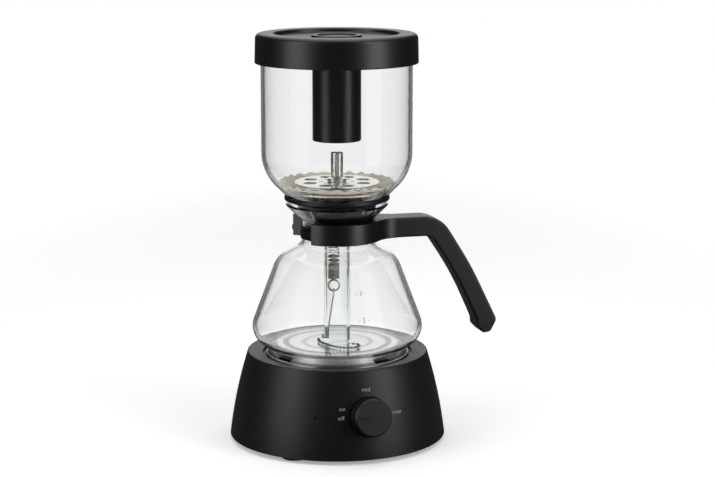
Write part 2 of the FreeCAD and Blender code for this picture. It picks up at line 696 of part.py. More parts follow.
def strap_screw():
    angle = BAND_OPEN_FROM - LUG_SPAN / 2
    way = FreeCAD.Vector(*around(1.0, angle), 0)
    start = FreeCAD.Vector(way).multiply(NECK_R + 1.3)
    start.z = STRAP_Z
    head_at = FreeCAD.Vector(way).multiply(LUG_R + 0.05)
    head_at.z = STRAP_Z
    shank = Part.makeCylinder(STRAP_SCREW_R - 0.05, LUG_R - NECK_R - 1.0, start, way)
    head = Part.makeCylinder(2.8, 1.3, head_at, way)
    return rotated(shank.fuse(head), JUG_TURN)


# ---- upper bowl, seal and filter ---------------------------------------------------------
def upper_bowl():
    bowl = glass_wall(UPPER_PATH)
    slant = math.degrees(math.atan2(LEG_BEVEL, 2 * LEG_R))
    wedge = Part.makeBox(60, 60, 30, FreeCAD.Vector(-30, -30, -30))
    wedge.rotate(ORIGIN, FreeCAD.Vector(0, 1, 0), slant)
    wedge.translate(FreeCAD.Vector(0, 0, LEG_BOTTOM_Z + LEG_BEVEL / 2))
    return rotated(bowl.cut(wedge), UPPER_TURN)


def bowl_seal():
    """Ribbed rubber plug with a wide flange, moulded round the foot of the upper bowl."""
    plug_r = 24.8
    bottom = 160.0
    corners = [(LEG_R + 0.1, bottom, 0), (plug_r - 1.0, bottom, 0.6)]
    for rib in range(3):
        low = bottom + 1.6 + rib * 3.0
        corners += [(plug_r - 1.0, low, 0), (plug_r, low + 0.5, 0.3),
                    (plug_r, low + 1.5, 0.3), (plug_r - 1.0, low + 2.0, 0)]
    corners += [(24.6, 171.0, 1.0), (29.0, 176.5, 1.0), (30.3, 182.6, 1.5), (40.3, 186.4, 0.8),
                (40.3, 189.0, 0.6), (38.0, 190.6, 0.3), (LEG_R + 0.1, 190.6, 0)]
    return turned_corners(corners).cut(envelope(UPPER_PATH, 0.05))


def filter_base():
    """Perforated lower plate that rests on the glass cone, with a boss for stud and spring."""
    top = PAPER_Z - 0.1
    plate = turned_corners([(0, top - 2.2, 0), (37.6, top - 2.2, 0.4), (38.8, top - 1.0, 0.4),
                            (38.8, top, 0.3), (0, top, 0)])
    boss = disc(6.0, 185.5, top - 2.0)
    eye = ring(2.2, 3.6, -0.7, 0.7)
    eye.rotate(ORIGIN, FreeCAD.Vector(1, 0, 0), 90)
    eye.translate(FreeCAD.Vector(SPRING_SHIFT, 0, 184.2))
    holes = []
    for count, radius, size in BASE_HOLES:
        for step in range(count):
            holes.append(disc(size, 180, 200, *around(radius, 360 * step / count)))
    bored = fused([plate, boss, eye]).cut(Part.makeCompound(holes))
    return rotated(bored.cut(disc(STUD_R, STUD_BOTTOM_Z, 200)), UPPER_TURN)


def filter_stud():
    return rotated(disc(STUD_R, STUD_BOTTOM_Z, STUD_TOP_Z), UPPER_TURN)


def paper_filter():
    """Paper disc pressed flat between the plates, its rim turned up along the glass."""
    lift = PAPER_THICK
    corners = [(STUD_R + 0.4, PAPER_Z, 0), (PAPER_FLAT_R, PAPER_Z, 3.0),
               (PAPER_EDGE_R, PAPER_Z + PAPER_EDGE_RISE, 0),
               (PAPER_EDGE_R - 0.3, PAPER_Z + PAPER_EDGE_RISE + lift, 0),
               (PAPER_FLAT_R - 0.2, PAPER_Z + lift, 2.4), (STUD_R + 0.4, PAPER_Z + lift, 0)]
    return turned_corners(corners)


def clamp_washer():
    return ring(STUD_R + 0.4, 9.0, PAPER_Z + PAPER_THICK + CLEAR, DISC_TOP_Z - DISC_THICK - CLEAR)


def clamp_disc():
    """Polished perforated disc with a turned-down rim."""
    under = DISC_TOP_Z - DISC_THICK
    rim_z = PAPER_Z + PAPER_THICK + 0.5
    corners = [(DISC_BORE_R, under, 0), (DISC_R - 1.4, under, 0.8), (DISC_R - 1.0, rim_z, 0),
               (DISC_R, rim_z, 0), (DISC_R, DISC_TOP_Z, 1.2), (DISC_BORE_R, DISC_TOP_Z, 0)]
    plate = turned_corners(corners)
    holes = []
    for circle, first, size in DISC_HOLES:
        for step in range(DISC_HOLE_COUNT):
            angle = first + 360 * step / DISC_HOLE_COUNT
            holes.append(disc(size, 190, 210, *around(circle, angle)))
    return rotated(plate.cut(Part.makeCompound(holes)), UPPER_TURN)


def clamp_post():
    """Turned post that screws down on the stud and is the filter's handle."""
    under = DISC_TOP_Z - DISC_THICK
    bore_r = STUD_R + SHAFT_FIT
    bore_top = STUD_TOP_Z + 3.0
    corners = [(bore_r, under, 0), (DISC_BORE_R, under, 0),
               (DISC_BORE_R, DISC_TOP_Z, 0), (COLLAR_R, DISC_TOP_Z, 0.4),
               (COLLAR_R, DISC_TOP_Z + 2.6, 0.8), (POST_R, DISC_TOP_Z + 3.8, 0.6),
               (POST_R, POST_TOP_Z, 1.2), (0, POST_TOP_Z, 0),
               (0, bore_top, 0), (bore_r, bore_top, 0)]
    return turned_corners(corners)


# ---- spring, hook and chain --------------------------------------------------------------
def hung(shape):
    """Shifts a piece against the side of the leg where the spring hangs, and turns it."""
    copy = shape.copy()
    copy.translate(FreeCAD.Vector(SPRING_SHIFT, 0, 0))
    return rotated(copy, UPPER_TURN)


def filter_spring():
    return hung(ring(SPRING_R - WIRE_WIDTH, SPRING_R, COIL_TOP_Z + 5.2, SPRING_TOP_Z - 4.0))


def spring_coil():
    coil = ring(SPRING_R - WIRE_WIDTH, SPRING_R, COIL_BOTTOM_Z, COIL_TOP_Z)
    collars = [ring(SPRING_R - 1.1, SPRING_R + 0.2, z, z + 1.6)
               for z in (COIL_TOP_Z, COIL_TOP_Z + 3.2)]
    sleeve = ring(SPRING_R - 1.1, SPRING_R - 0.4, COIL_TOP_Z, COIL_TOP_Z + 4.0)
    return hung(fused([coil, sleeve] + collars))


def hook_ring():
    loop = Part.makeTorus(RING_R, 0.7, FreeCAD.Vector(0, 0, RING_CENTRE_Z), FreeCAD.Vector(0, 1, 0))
    return hung(loop)


def hook_wire():
    """Thin wire from the ring to the leg's end, where it hooks under the glass."""
    top_z = RING_CENTRE_Z - RING_R - 1.5
    inside = -(LEG_R - GLASS_WALL - 1.2)
    outside = -(LEG_R + 1.2)
    points = [(SPRING_SHIFT, 0, top_z), (inside, 0, 84.0), (inside - 0.3, 0, HOOK_Z),
              (outside, 0, HOOK_Z), (outside, 0, HOOK_Z + 2.4)]
    eye = Part.makeTorus(1.5, 0.5, FreeCAD.Vector(SPRING_SHIFT, 0, top_z + 1.5),
                         FreeCAD.Vector(1, 0, 0))
    return rotated(bent_rod(points, 0.6).fuse(eye), UPPER_TURN)


def bead_chain():
    """Ball chain that lies in a loose loop on the floor of the lower bowl."""
    stops = [FreeCAD.Vector(x, y, BEAD_Z) for x, y in CHAIN_ROUTE]
    link = bent_rod([tuple(stop) for stop in stops], 0.35)
    beads = []
    to_go = 0.0
    for a, b in zip(stops, stops[1:]):
        run = b.sub(a)
        while to_go < run.Length:
            centre = a.add(FreeCAD.Vector(run).normalize().multiply(to_go))
            beads.append(Part.makeSphere(BEAD_R, centre))
            to_go += BEAD_STEP
        to_go -= run.Length
    return rotated(fused([link] + beads), UPPER_TURN)


# ---- lid ---------------------------------------------------------------------------------
def lid_cap():
    """Cap with a deep skirt, a raised rim and a sunken round top."""
    corners = [(LID_R, LID_BOTTOM_Z, 0.8), (LID_R - 0.6, LID_TOP_Z, 4.0), (47.6, LID_TOP_Z, 1.2),
               (46.6, LID_FLOOR_Z, 1.2), (0, LID_FLOOR_Z, 0), (0, LID_UNDER_Z, 0),
               (LID_SKIRT_IN, LID_UNDER_Z, 1.0), (LID_SKIRT_IN, LID_BOTTOM_Z, 0.5)]
    return turned_corners(corners)


def lid_boss():
    """Raised ring round a dished centre on top of the lid."""
    corners = [(0, LID_FLOOR_Z, 0), (19.3, LID_FLOOR_Z, 0), (19.0, LID_FLOOR_Z + 1.8, 0.7),
               (15.2, LID_FLOOR_Z + 1.8, 0.7), (14.6, LID_FLOOR_Z + 0.5, 0.4),
               (0, LID_FLOOR_Z + 0.5, 0)]
    return turned_corners(corners)


def stand_tube():
    """Hollow tube under the lid: turned over, the lid is a stand for the upper bowl's leg."""
    corners = [(TUBE_R - TUBE_WALL, TUBE_BOTTOM_Z, 0.5), (TUBE_R, TUBE_BOTTOM_Z, 0.8),
               (TUBE_R, LID_UNDER_Z, 0), (TUBE_R - TUBE_WALL, LID_UNDER_Z, 0)]
    return turned_corners(corners)


# ---- export ------------------------------------------------------------------------------
PARTS = {
    "base_shell": base_shell, "bottom_cover": bottom_cover, "cover_screws": cover_screws,
    "heater_plate": heater_plate, "plate_gasket": plate_gasket, "bowl_clips": bowl_clips,
    "heating_element": heating_element, "heat_shield": heat_shield,
    "shield_screws": shield_screws, "thermostat": thermostat, "thermal_fuse": thermal_fuse,
    "circuit_board": circuit_board, "terminal_block": terminal_block,
    "potentiometer": potentiometer, "pot_bracket": pot_bracket,
    "indicator_lens": indicator_lens, "indicator_led": indicator_led, "cord_gland": cord_gland,
    "control_knob": control_knob, "knob_pointer": knob_pointer, "knob_shaft": knob_shaft,
    "lower_bowl": lower_bowl, "handle": handle, "neck_strap": neck_strap,
    "strap_screw": strap_screw,
    "upper_bowl": upper_bowl, "bowl_seal": bowl_seal, "filter_base": filter_base,
    "filter_stud": filter_stud, "paper_filter": paper_filter,
    "clamp_washer": clamp_washer, "clamp_disc": clamp_disc, "clamp_post": clamp_post,
    "filter_spring": filter_spring, "spring_coil": spring_coil, "hook_ring": hook_ring,
    "hook_wire": hook_wire, "bead_chain": bead_chain,
    "lid_cap": lid_cap, "lid_boss": lid_boss, "stand_tube": stand_tube,
}


def main():
    os.makedirs("parts", exist_ok=True)
    for name, make in PARTS.items():
        make().exportStep("parts/" + name + ".step")
    for number, angle in enumerate(FOOT_ANGLES, 1):
        foot(angle).exportStep("parts/foot_%d.step" % number)


main()
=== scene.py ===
import json
import math

import bmesh
import bpy
from mathutils import Matrix, Vector

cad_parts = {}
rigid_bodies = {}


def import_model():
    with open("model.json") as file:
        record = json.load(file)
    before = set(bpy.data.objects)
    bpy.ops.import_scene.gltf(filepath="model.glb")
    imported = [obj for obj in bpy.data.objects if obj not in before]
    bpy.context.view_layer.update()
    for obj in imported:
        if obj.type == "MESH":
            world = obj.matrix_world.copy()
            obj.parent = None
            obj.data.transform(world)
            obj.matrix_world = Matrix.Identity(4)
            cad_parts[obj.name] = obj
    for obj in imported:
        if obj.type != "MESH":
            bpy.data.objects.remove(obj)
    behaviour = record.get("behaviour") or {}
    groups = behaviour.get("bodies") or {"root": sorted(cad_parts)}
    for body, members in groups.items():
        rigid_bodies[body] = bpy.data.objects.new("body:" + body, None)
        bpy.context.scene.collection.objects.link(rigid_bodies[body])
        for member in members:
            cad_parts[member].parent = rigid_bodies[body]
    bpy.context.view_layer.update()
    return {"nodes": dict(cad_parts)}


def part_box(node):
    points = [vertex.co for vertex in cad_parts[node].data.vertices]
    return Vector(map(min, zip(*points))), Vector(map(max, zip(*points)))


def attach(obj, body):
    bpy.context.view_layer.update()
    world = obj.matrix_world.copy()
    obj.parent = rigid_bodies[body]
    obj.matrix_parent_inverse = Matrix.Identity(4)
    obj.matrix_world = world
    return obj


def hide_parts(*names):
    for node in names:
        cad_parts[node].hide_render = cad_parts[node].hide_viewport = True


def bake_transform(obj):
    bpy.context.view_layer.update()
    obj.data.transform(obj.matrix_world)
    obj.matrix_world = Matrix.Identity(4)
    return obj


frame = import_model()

bl_info = {
    "name": "Siphon coffee maker finish",
    "version": (1, 0, 0),
    "blender": (4, 5, 0),
    "location": "3D view > Sidebar > Siphon",
    "description": "Finishes the glass, plastic and metal of a siphon coffee maker on its base",
    "category": "Object",
}

MM = 0.001
UP = Vector((0, 0, 1))
UPPER_TURN = math.radians(-18)     # how the upper bowl and its filter sit in the neck
KNOB_TILT = math.radians(12)       # how far the knob's axis points up
KNOB_SEAT_Z = 34.4 * MM            # height of the knob's middle on the shell
SPRING_SHIFT = -2.6 * MM           # the spring hangs against one side of the leg
SPRING_R = 4.5 * MM                # outside of its turns
COLLAR_R = 4.0 * MM                # middle of the two collars' wire
COLLAR_WIRE = 0.7 * MM             # radius of that wire
COLLAR_ZONE = 4.8 * MM             # height the collars take above the tight turns
CHAIN_ROUTE = ((-14.4, -1.0), (-14.0, -7.0), (-11.0, -14.0), (-6.0, -22.0), (0.0, -28.0),
               (6.5, -31.0), (13.0, -30.0), (17.0, -25.0), (16.0, -18.5), (10.5, -17.0))
CHAIN_STEP = 3.1 * MM              # from ball to ball
INK = 0.03 * MM                    # half the thickness of printed ink
WORD_SIZE = 4.5 * MM
MARK_SIZE = 5.2 * MM
DIAL_WORDS = (("off", 180.0, 21.2), ("on", 161.5, 21.1),    # word, degrees, mm from the axis
              ("mid", 93.4, 20.4), ("max", 3.0, 22.9))
SHELL_SIDE = ((83.5, 3.0), (78.1, 35.2), (69.7, 67.4))      # radius and height, foot to top
JUG_SIDE = ((72.2, 72.8), (46.2, 142.0))                    # radius and height of the cone
JUG_SLOPE = math.radians(20.6)                              # lean of the cone from upright
PAINTED_PLATE_RINGS = ((0.0400, 0.0030, 0.12), (0.0260, 0.0024, 0.45),   # radius, half width and brightness left at the middle of each ring of painted shade
                 (0.0540, 0.0026, 0.30))                           # shade left in its floor
PAPER_THICK = 0.35 * MM
PAPER_FLAT = 34.0 * MM             # the paper lies flat this far out
PAPER_HOLE = 2.4 * MM
INSIDE_GLASS = ("stand_tube", "filter_", "clamp_", "spring", "hook_", "ball_chain")
AIM = (0, 0, 0.18)                 # the lamps look at the object's middle
SIDE_BOXES = (("left", -56, 0.72, 1.0), ("right", 57, 0.60, 1.15))   # turn, width, power share


# ---- settings ----------------------------------------------------------------------------
def colour(name, description, value):
    return bpy.props.FloatVectorProperty(name=name, description=description, default=value,
                                         size=len(value), min=0, max=1, subtype="COLOR")


def share(name, description, value):
    return bpy.props.FloatProperty(name=name, description=description, default=value,
                                   min=0, max=1, subtype="FACTOR")


def length(name, description, value):
    return bpy.props.FloatProperty(name=name, description=description, default=value,
                                   min=0, unit="LENGTH", precision=4)


def angle(name, description, degrees):
    return bpy.props.FloatProperty(name=name, description=description,
                                   default=math.radians(degrees), subtype="ANGLE")


class SiphonPlastic(bpy.types.PropertyGroup):
    shell: colour("Base colour", "Matt black of the heating base", (0.0050, 0.0053, 0.0055))
    satin: colour("Satin colour", "Satin black of handle, lid and knob", (0.0045, 0.0048, 0.0050))
    gloss: colour("Gloss colour", "Glossy black of the stand tube", (0.0022, 0.0022, 0.0024))
    rubber: colour("Rubber colour", "Black of seal, feet and grommet", (0.0050, 0.0052, 0.0054))
    print: colour("Print colour", "Pale grey of the dial's words", (0.62, 0.62, 0.60))
    grain: length("Grain", "Width of one grain of the moulded surface", 0.00035)


class SiphonGlass(bpy.types.PropertyGroup):
    tint: colour("Tint", "Colour of clear borosilicate glass", (0.985, 0.995, 0.990))
    # painted shade: the dark colour that glass walls take where they are seen edge on
    edge: colour("Edge", "Tone of the glass where it is seen edge on", (0.08, 0.09, 0.09))
    mark_turn: angle("Mark turn", "Where the cup marks stand, round the bowl from +X", -88.5)
    two_cups: length("Two cups", "Height of the mark for two cups", 0.104)
    three_cups: length("Three cups", "Height of the mark for three cups", 0.123)
    marks: colour("Marks", "Grey ink of the cup marks", (0.42, 0.43, 0.43))


class SiphonMetal(bpy.types.PropertyGroup):
    steel: colour("Steel", "Brushed stainless steel", (0.576, 0.572, 0.56))
    wire: length("Wire", "Thickness of the spring's wire", 0.0009)
    open_turns: bpy.props.IntProperty(name="Open turns", description="Stretched turns of the spring",
                                      default=11, min=2, max=40)
    closed_turns: bpy.props.IntProperty(name="Closed turns", description="Tight turns of the spring",
                                        default=13, min=2, max=40)
    bead: length("Bead", "Radius of one ball of the chain", 0.00105)


class SiphonPaper(bpy.types.PropertyGroup):
    tone: colour("Tone", "Unbleached filter paper", (0.92, 0.84, 0.69))
    waves: bpy.props.IntProperty(name="Waves", description="Waves round the paper's rim",
                                 default=26, min=6, max=80)
    wave_height: length("Wave height", "Height of one wave at the rim", 0.0016)


class SiphonStage(bpy.types.PropertyGroup):
    distance: length("Distance", "Level distance from the camera to the centre line", 1.418)
    height: length("Height", "Height of the camera above the table", 0.423)
    sideways: length("Sideways", "Shift of the camera to its right", 0.0157)
    azimuth: angle("Azimuth", "Where the camera stands, from the knob", -18.4)
    pitch: angle("Pitch", "How far the camera looks down", 10.69)
    lens: bpy.props.FloatProperty(name="Lens", description="Focal length in millimetres",
                                  default=94.56, min=10)
    floor: colour("Floor", "Pale floor", (0.90, 0.90, 0.90))
    sky: share("Sky", "Brightness of the dim room round the object", 0.045)
    floor_glow: share("Floor glow", "Lift of the floor's white as it is seen", 0.33)
    bounce: share("Bounce", "Share of the floor's paleness that lights the object", 0.12)
    surround: share("Surround", "White of the room beside the card, seen through glass", 0.88)
    card: angle("Card", "Half the spread of the white card behind the object", 20.0)
    glass_share: share("Glass share", "Share of the side light that the glass shows", 0.35)
    side_light: bpy.props.FloatProperty(name="Side light", description="Power of each side softbox",
                                        default=9.0, min=0, unit="POWER")
    top_light: bpy.props.FloatProperty(name="Top light", description="Power of the overhead softbox",
                                       default=30.0, min=0, unit="POWER")


SETTINGS = {"plastic": SiphonPlastic, "glass": SiphonGlass, "metal": SiphonMetal,
            "paper": SiphonPaper, "stage": SiphonStage}


def settings(name):
    return getattr(bpy.context.scene, "siphon_" + name)


# ---- shader groups -----------------------------------------------------------------------
class Nodes:
    """Short way to add and link nodes in one tree."""

    def __init__(self, tree):
        self.tree = tree

    def add(self, kind, **values):
        node = self.tree.nodes.new(kind)
        for key, value in values.items():
            setattr(node, key, value)
        return node

    def link(self, source, target):
        self.tree.links.new(source, target)

    def math(self, operation, first, second=None):
        node = self.add("ShaderNodeMath", operation=operation)
        for socket, value in zip(node.inputs, (first, second)):
            self.put(socket, value)
        return node.outputs[0]

    def put(self, socket, value):
        if value is None:
            return
        if isinstance(value, bpy.types.NodeSocket):
            self.link(value, socket)
        else:
            socket.default_value = value

    def noise(self, vector, scale, detail=2.0, rough=0.5):
        node = self.add("ShaderNodeTexNoise")
        self.link(vector, node.inputs["Vector"])
        self.put(node.inputs["Scale"], scale)
        node.inputs["Detail"].default_value = detail
        node.inputs["Roughness"].default_value = rough
        return node.outputs["Fac"]

    def range(self, value, low, high, to_low, to_high):
        node = self.add("ShaderNodeMapRange")
        for key, item in (("Value", value), ("From Min", low), ("From Max", high),
                          ("To Min", to_low), ("To Max", to_high)):
            self.put(node.inputs[key], item)
        return node.outputs["Result"]


def new_group(name, inputs, outputs):
    tree = bpy.data.node_groups.new(name, "ShaderNodeTree")
    for label, kind, value in inputs:
        socket = tree.interface.new_socket(name=label, in_out="INPUT", socket_type=kind)
        if value is not None:
            socket.default_value = value
    for label, kind in outputs:
        tree.interface.new_socket(name=label, in_out="OUTPUT", socket_type=kind)
    kit = Nodes(tree)
    return kit, kit.add("NodeGroupInput"), kit.add("NodeGroupOutput")


FLOAT = "NodeSocketFloat"
COLOUR = "NodeSocketColor"
VECTOR = "NodeSocketVector"


def moulded_group():
    """Spark-eroded grain of a moulded part, with faint handling marks in its gloss."""
    kit, into, out = new_group(
        "Moulded grain",
        [("Colour", COLOUR, (0.02, 0.02, 0.02, 1)), ("Grain size", FLOAT, 0.35),
         ("Depth", FLOAT, 0.1), ("Roughness", FLOAT, 0.4), ("Smudges", FLOAT, 0.05)],
        [("Colour", COLOUR), ("Roughness", FLOAT), ("Normal", VECTOR)])
    place = kit.add("ShaderNodeTexCoord").outputs["Object"]
    cells = kit.math("DIVIDE", 1000.0, into.outputs["Grain size"])
    grain = kit.noise(place, cells, 3.0, 0.6)
    cloud = kit.noise(place, 16.0, 3.0, 0.55)
    wipe = kit.noise(place, 70.0, 4.0, 0.65)
    drift = kit.math("MULTIPLY", kit.math("SUBTRACT", cloud, 0.5), into.outputs["Smudges"])
    touch = kit.math("MULTIPLY", kit.math("SUBTRACT", wipe, 0.5), into.outputs["Smudges"])
    rough = kit.math("ADD", into.outputs["Roughness"], kit.math("ADD", drift, touch))
    kit.link(rough, out.inputs["Roughness"])
    speck = kit.range(grain, 0.35, 0.70, 0.86, 1.16)
    shade = kit.add("ShaderNodeVectorMath", operation="SCALE")
    kit.link(into.outputs["Colour"], shade.inputs[0])
    kit.link(speck, shade.inputs["Scale"])
    kit.link(shade.outputs[0], out.inputs["Colour"])
    bump = kit.add("ShaderNodeBump")
    bump.inputs["Distance"].default_value = 0.00008
    kit.link(into.outputs["Depth"], bump.inputs["Strength"])
    kit.link(grain, bump.inputs["Height"])
    kit.link(bump.outputs["Normal"], out.inputs["Normal"])
    return kit.tree


def turned_group():
    """Fine rings of turned or spun metal round the centre line, with wiped streaks."""
    kit, into, out = new_group(
        "Turned metal",
        [("Colour", COLOUR, (0.7, 0.7, 0.7, 1)), ("Rings per metre", FLOAT, 2600.0),
         ("Depth", FLOAT, 0.1), ("Roughness", FLOAT, 0.12), ("Centre", VECTOR, (0, 0, 0))],
        [("Colour", COLOUR), ("Roughness", FLOAT), ("Normal", VECTOR)])
    place = kit.add("ShaderNodeTexCoord").outputs["Object"]
    off = kit.add("ShaderNodeVectorMath", operation="SUBTRACT")
    kit.link(place, off.inputs[0])
    kit.link(into.outputs["Centre"], off.inputs[1])
    parts = kit.add("ShaderNodeSeparateXYZ")
    kit.link(off.outputs[0], parts.inputs[0])
    radius = kit.math("SQRT", kit.math("ADD", kit.math("MULTIPLY", parts.outputs["X"],
                                                       parts.outputs["X"]),
                                       kit.math("MULTIPLY", parts.outputs["Y"],
                                                parts.outputs["Y"])))
    along = kit.math("ADD", radius, kit.math("MULTIPLY", parts.outputs["Z"], 0.73))
    rows = kit.add("ShaderNodeCombineXYZ")
    kit.link(along, rows.inputs["X"])
    rings = kit.noise(rows.outputs[0], into.outputs["Rings per metre"], 2.0, 0.7)
    wipe = kit.noise(place, 60.0, 4.0, 0.6)
    rough = kit.math("ADD", into.outputs["Roughness"],
                     kit.math("ADD", kit.range(rings, 0.3, 0.7, -0.02, 0.03),
                              kit.range(wipe, 0.3, 0.8, -0.02, 0.05)))
    kit.link(rough, out.inputs["Roughness"])
    shade = kit.add("ShaderNodeVectorMath", operation="SCALE")
    kit.link(into.outputs["Colour"], shade.inputs[0])
    kit.link(kit.range(rings, 0.3, 0.7, 0.94, 1.04), shade.inputs["Scale"])
    kit.link(shade.outputs[0], out.inputs["Colour"])
    bump = kit.add("ShaderNodeBump")
    bump.inputs["Distance"].default_value = 0.00002
    kit.link(into.outputs["Depth"], bump.inputs["Strength"])
    kit.link(rings, bump.inputs["Height"])
    kit.link(bump.outputs["Normal"], out.inputs["Normal"])
    return kit.tree


def fibre_group():
    """Crossed fibres of filter paper, creped towards its rim."""
    kit, into, out = new_group(
        "Paper fibre",
        [("Colour", COLOUR, (0.6, 0.53, 0.42, 1)), ("Depth", FLOAT, 0.4)],
        [("Colour", COLOUR), ("Roughness", FLOAT), ("Normal", VECTOR)])
    place = kit.add("ShaderNodeTexCoord").outputs["Object"]
    felt = kit.noise(place, 1500.0, 6.0, 0.7)
    cloud = kit.noise(place, 120.0, 3.0, 0.6)
    crepe = kit.noise(place, 420.0, 2.0, 0.5)
    height = kit.math("ADD", felt, kit.math("MULTIPLY", crepe, 1.4))
    shade = kit.add("ShaderNodeVectorMath", operation="SCALE")
    kit.link(into.outputs["Colour"], shade.inputs[0])
    spread = kit.math("ADD", kit.range(felt, 0.3, 0.7, -0.08, 0.08),
                      kit.range(cloud, 0.3, 0.7, 0.93, 1.07))
    kit.link(spread, shade.inputs["Scale"])
    kit.link(shade.outputs[0], out.inputs["Colour"])
    kit.link(kit.range(cloud, 0.3, 0.7, 0.82, 0.95), out.inputs["Roughness"])
    bump = kit.add("ShaderNodeBump")
    bump.inputs["Distance"].default_value = 0.0002
    kit.link(into.outputs["Depth"], bump.inputs["Strength"])
    kit.link(height, bump.inputs["Height"])
    kit.link(bump.outputs["Normal"], out.inputs["Normal"])
    return kit.tree


GROUPS = {}


def group(name):
    makers = {"moulded": moulded_group, "turned": turned_group, "fibre": fibre_group}
    if name not in GROUPS:
        GROUPS[name] = makers[name]()
    return GROUPS[name]


# ---- materials ---------------------------------------------------------------------------
def new_material(name):
    material = bpy.data.materials.new(name)
    material.use_nodes = True
    kit = Nodes(material.node_tree)
    shader = material.node_tree.nodes["Principled BSDF"]
    return material, kit, shader


def place_group(kit, name, shader, **values):
    node = kit.add("ShaderNodeGroup", node_tree=group(name))
    for key, value in values.items():
        node.inputs[key.replace("_", " ")].default_value = value
    kit.link(node.outputs["Colour"], shader.inputs["Base Color"])
    kit.link(node.outputs["Roughness"], shader.inputs["Roughness"])
    kit.link(node.outputs["Normal"], shader.inputs["Normal"])
    return node


def opaque(value):
    return (value[0], value[1], value[2], 1.0)


def moulded(name, tone, grain, depth, roughness, smudges, specular=0.5, coat=0.0):
    material, kit, shader = new_material(name)
    place_group(kit, "moulded", shader, Colour=opaque(tone), Grain_size=grain / MM,
                Depth=depth, Roughness=roughness, Smudges=smudges)
    shader.inputs["Specular IOR Level"].default_value = specular
    shader.inputs["Coat Weight"].default_value = coat
    shader.inputs["Coat Roughness"].default_value = 0.08
    return material


def metal(name, tone, rings, depth, roughness, centre=(0, 0, 0)):
    material, kit, shader = new_material(name)
    node = place_group(kit, "turned", shader, Colour=opaque(tone), Rings_per_metre=rings,
                       Depth=depth, Roughness=roughness)
    node.inputs["Centre"].default_value = centre
    shader.inputs["Metallic"].default_value = 1.0
    return material


def clear_glass(name, tint, painted_edge_shade):
    """Blown glass: a clear body with the faint ripple of its making."""
    material, kit, shader = new_material(name)
    shader.inputs["Roughness"].default_value = 0.0
    shader.inputs["IOR"].default_value = 1.47
    shader.inputs["Transmission Weight"].default_value = 1.0
    place = kit.add("ShaderNodeTexCoord").outputs["Object"]
    ripple = kit.noise(place, 22.0, 1.0, 0.4)
    bump = kit.add("ShaderNodeBump")
    bump.inputs["Strength"].default_value = 0.05
    bump.inputs["Distance"].default_value = 0.0006
    kit.link(ripple, bump.inputs["Height"])
    kit.link(bump.outputs["Normal"], shader.inputs["Normal"])
    # painted shade: where an upright wall is seen edge on its colour turns to the dark edge tone;
    # light falls through without a hard shadow
    slant = kit.add("ShaderNodeLayerWeight")
    facing = kit.range(slant.outputs["Facing"], 0.69, 0.79, 0.0, 1.0)
    lie = kit.add("ShaderNodeSeparateXYZ")
    kit.link(kit.add("ShaderNodeNewGeometry").outputs["Normal"], lie.inputs[0])
    upright = kit.range(kit.math("ABSOLUTE", lie.outputs["Z"]), 0.75, 0.92, 1.0, 0.0)
    edge = kit.math("MULTIPLY", facing, upright)
    mix = kit.add("ShaderNodeMix", data_type="RGBA")
    kit.link(edge, mix.inputs[0])
    mix.inputs[6].default_value = opaque(tint)
    mix.inputs[7].default_value = opaque(painted_edge_shade)
    kit.link(mix.outputs[2], shader.inputs["Base Color"])
    shadow = kit.add("ShaderNodeLightPath").outputs["Is Shadow Ray"]
    kit.link(kit.range(shadow, 0.0, 1.0, 1.0, 0.06), shader.inputs["Alpha"])
    return material


def ink(name, tone, roughness=0.6):
    """Printed ink with the small voids of a pad print."""
    material, kit, shader = new_material(name)
    place = kit.add("ShaderNodeTexCoord").outputs["Object"]
    voids = kit.noise(place, 2600.0, 2.0, 0.6)
    shade = kit.add("ShaderNodeVectorMath", operation="SCALE")
    shade.inputs[0].default_value = tuple(tone[:3])
    kit.link(kit.range(voids, 0.25, 0.6, 0.8, 1.05), shade.inputs["Scale"])
    kit.link(shade.outputs[0], shader.inputs["Base Color"])
    shader.inputs["Roughness"].default_value = roughness
    return material


def paper(name, tone):
    """Matt fibres that catch a little light at the rim."""
    material, kit, shader = new_material(name)
    place_group(kit, "fibre", shader, Colour=opaque(tone), Depth=0.5)
    shader.inputs["Sheen Weight"].default_value = 0.2
    shader.inputs["Specular IOR Level"].default_value = 0.2
    return material


def plate_steel(name, tone):
    """Spun steel with wide rings of painted shade round the middle of the plate."""
    material, kit, shader = new_material(name)
    spun = place_group(kit, "turned", shader, Colour=opaque(tone), Rings_per_metre=900.0,
                       Depth=0.3, Roughness=0.22)
    shader.inputs["Metallic"].default_value = 1.0
    place = kit.add("ShaderNodeVectorMath", operation="MULTIPLY")
    kit.link(kit.add("ShaderNodeTexCoord").outputs["Object"], place.inputs[0])
    place.inputs[1].default_value = (1, 1, 0)
    reach = kit.add("ShaderNodeVectorMath", operation="LENGTH")
    kit.link(place.outputs[0], reach.inputs[0])
    level = 1.0
    # painted shade: each ring darkens the colour of the steel and is not cut into its surface
    for radius, width, floor in PAINTED_PLATE_RINGS:
        away = kit.math("ABSOLUTE", kit.math("SUBTRACT", reach.outputs["Value"], radius))
        level = kit.math("MULTIPLY", level, kit.range(away, width * 0.4, width, floor, 1.0))
    shade = kit.add("ShaderNodeVectorMath", operation="SCALE")
    kit.link(spun.outputs["Colour"], shade.inputs[0])
    kit.link(level, shade.inputs["Scale"])
    kit.link(shade.outputs[0], shader.inputs["Base Color"])
    return material


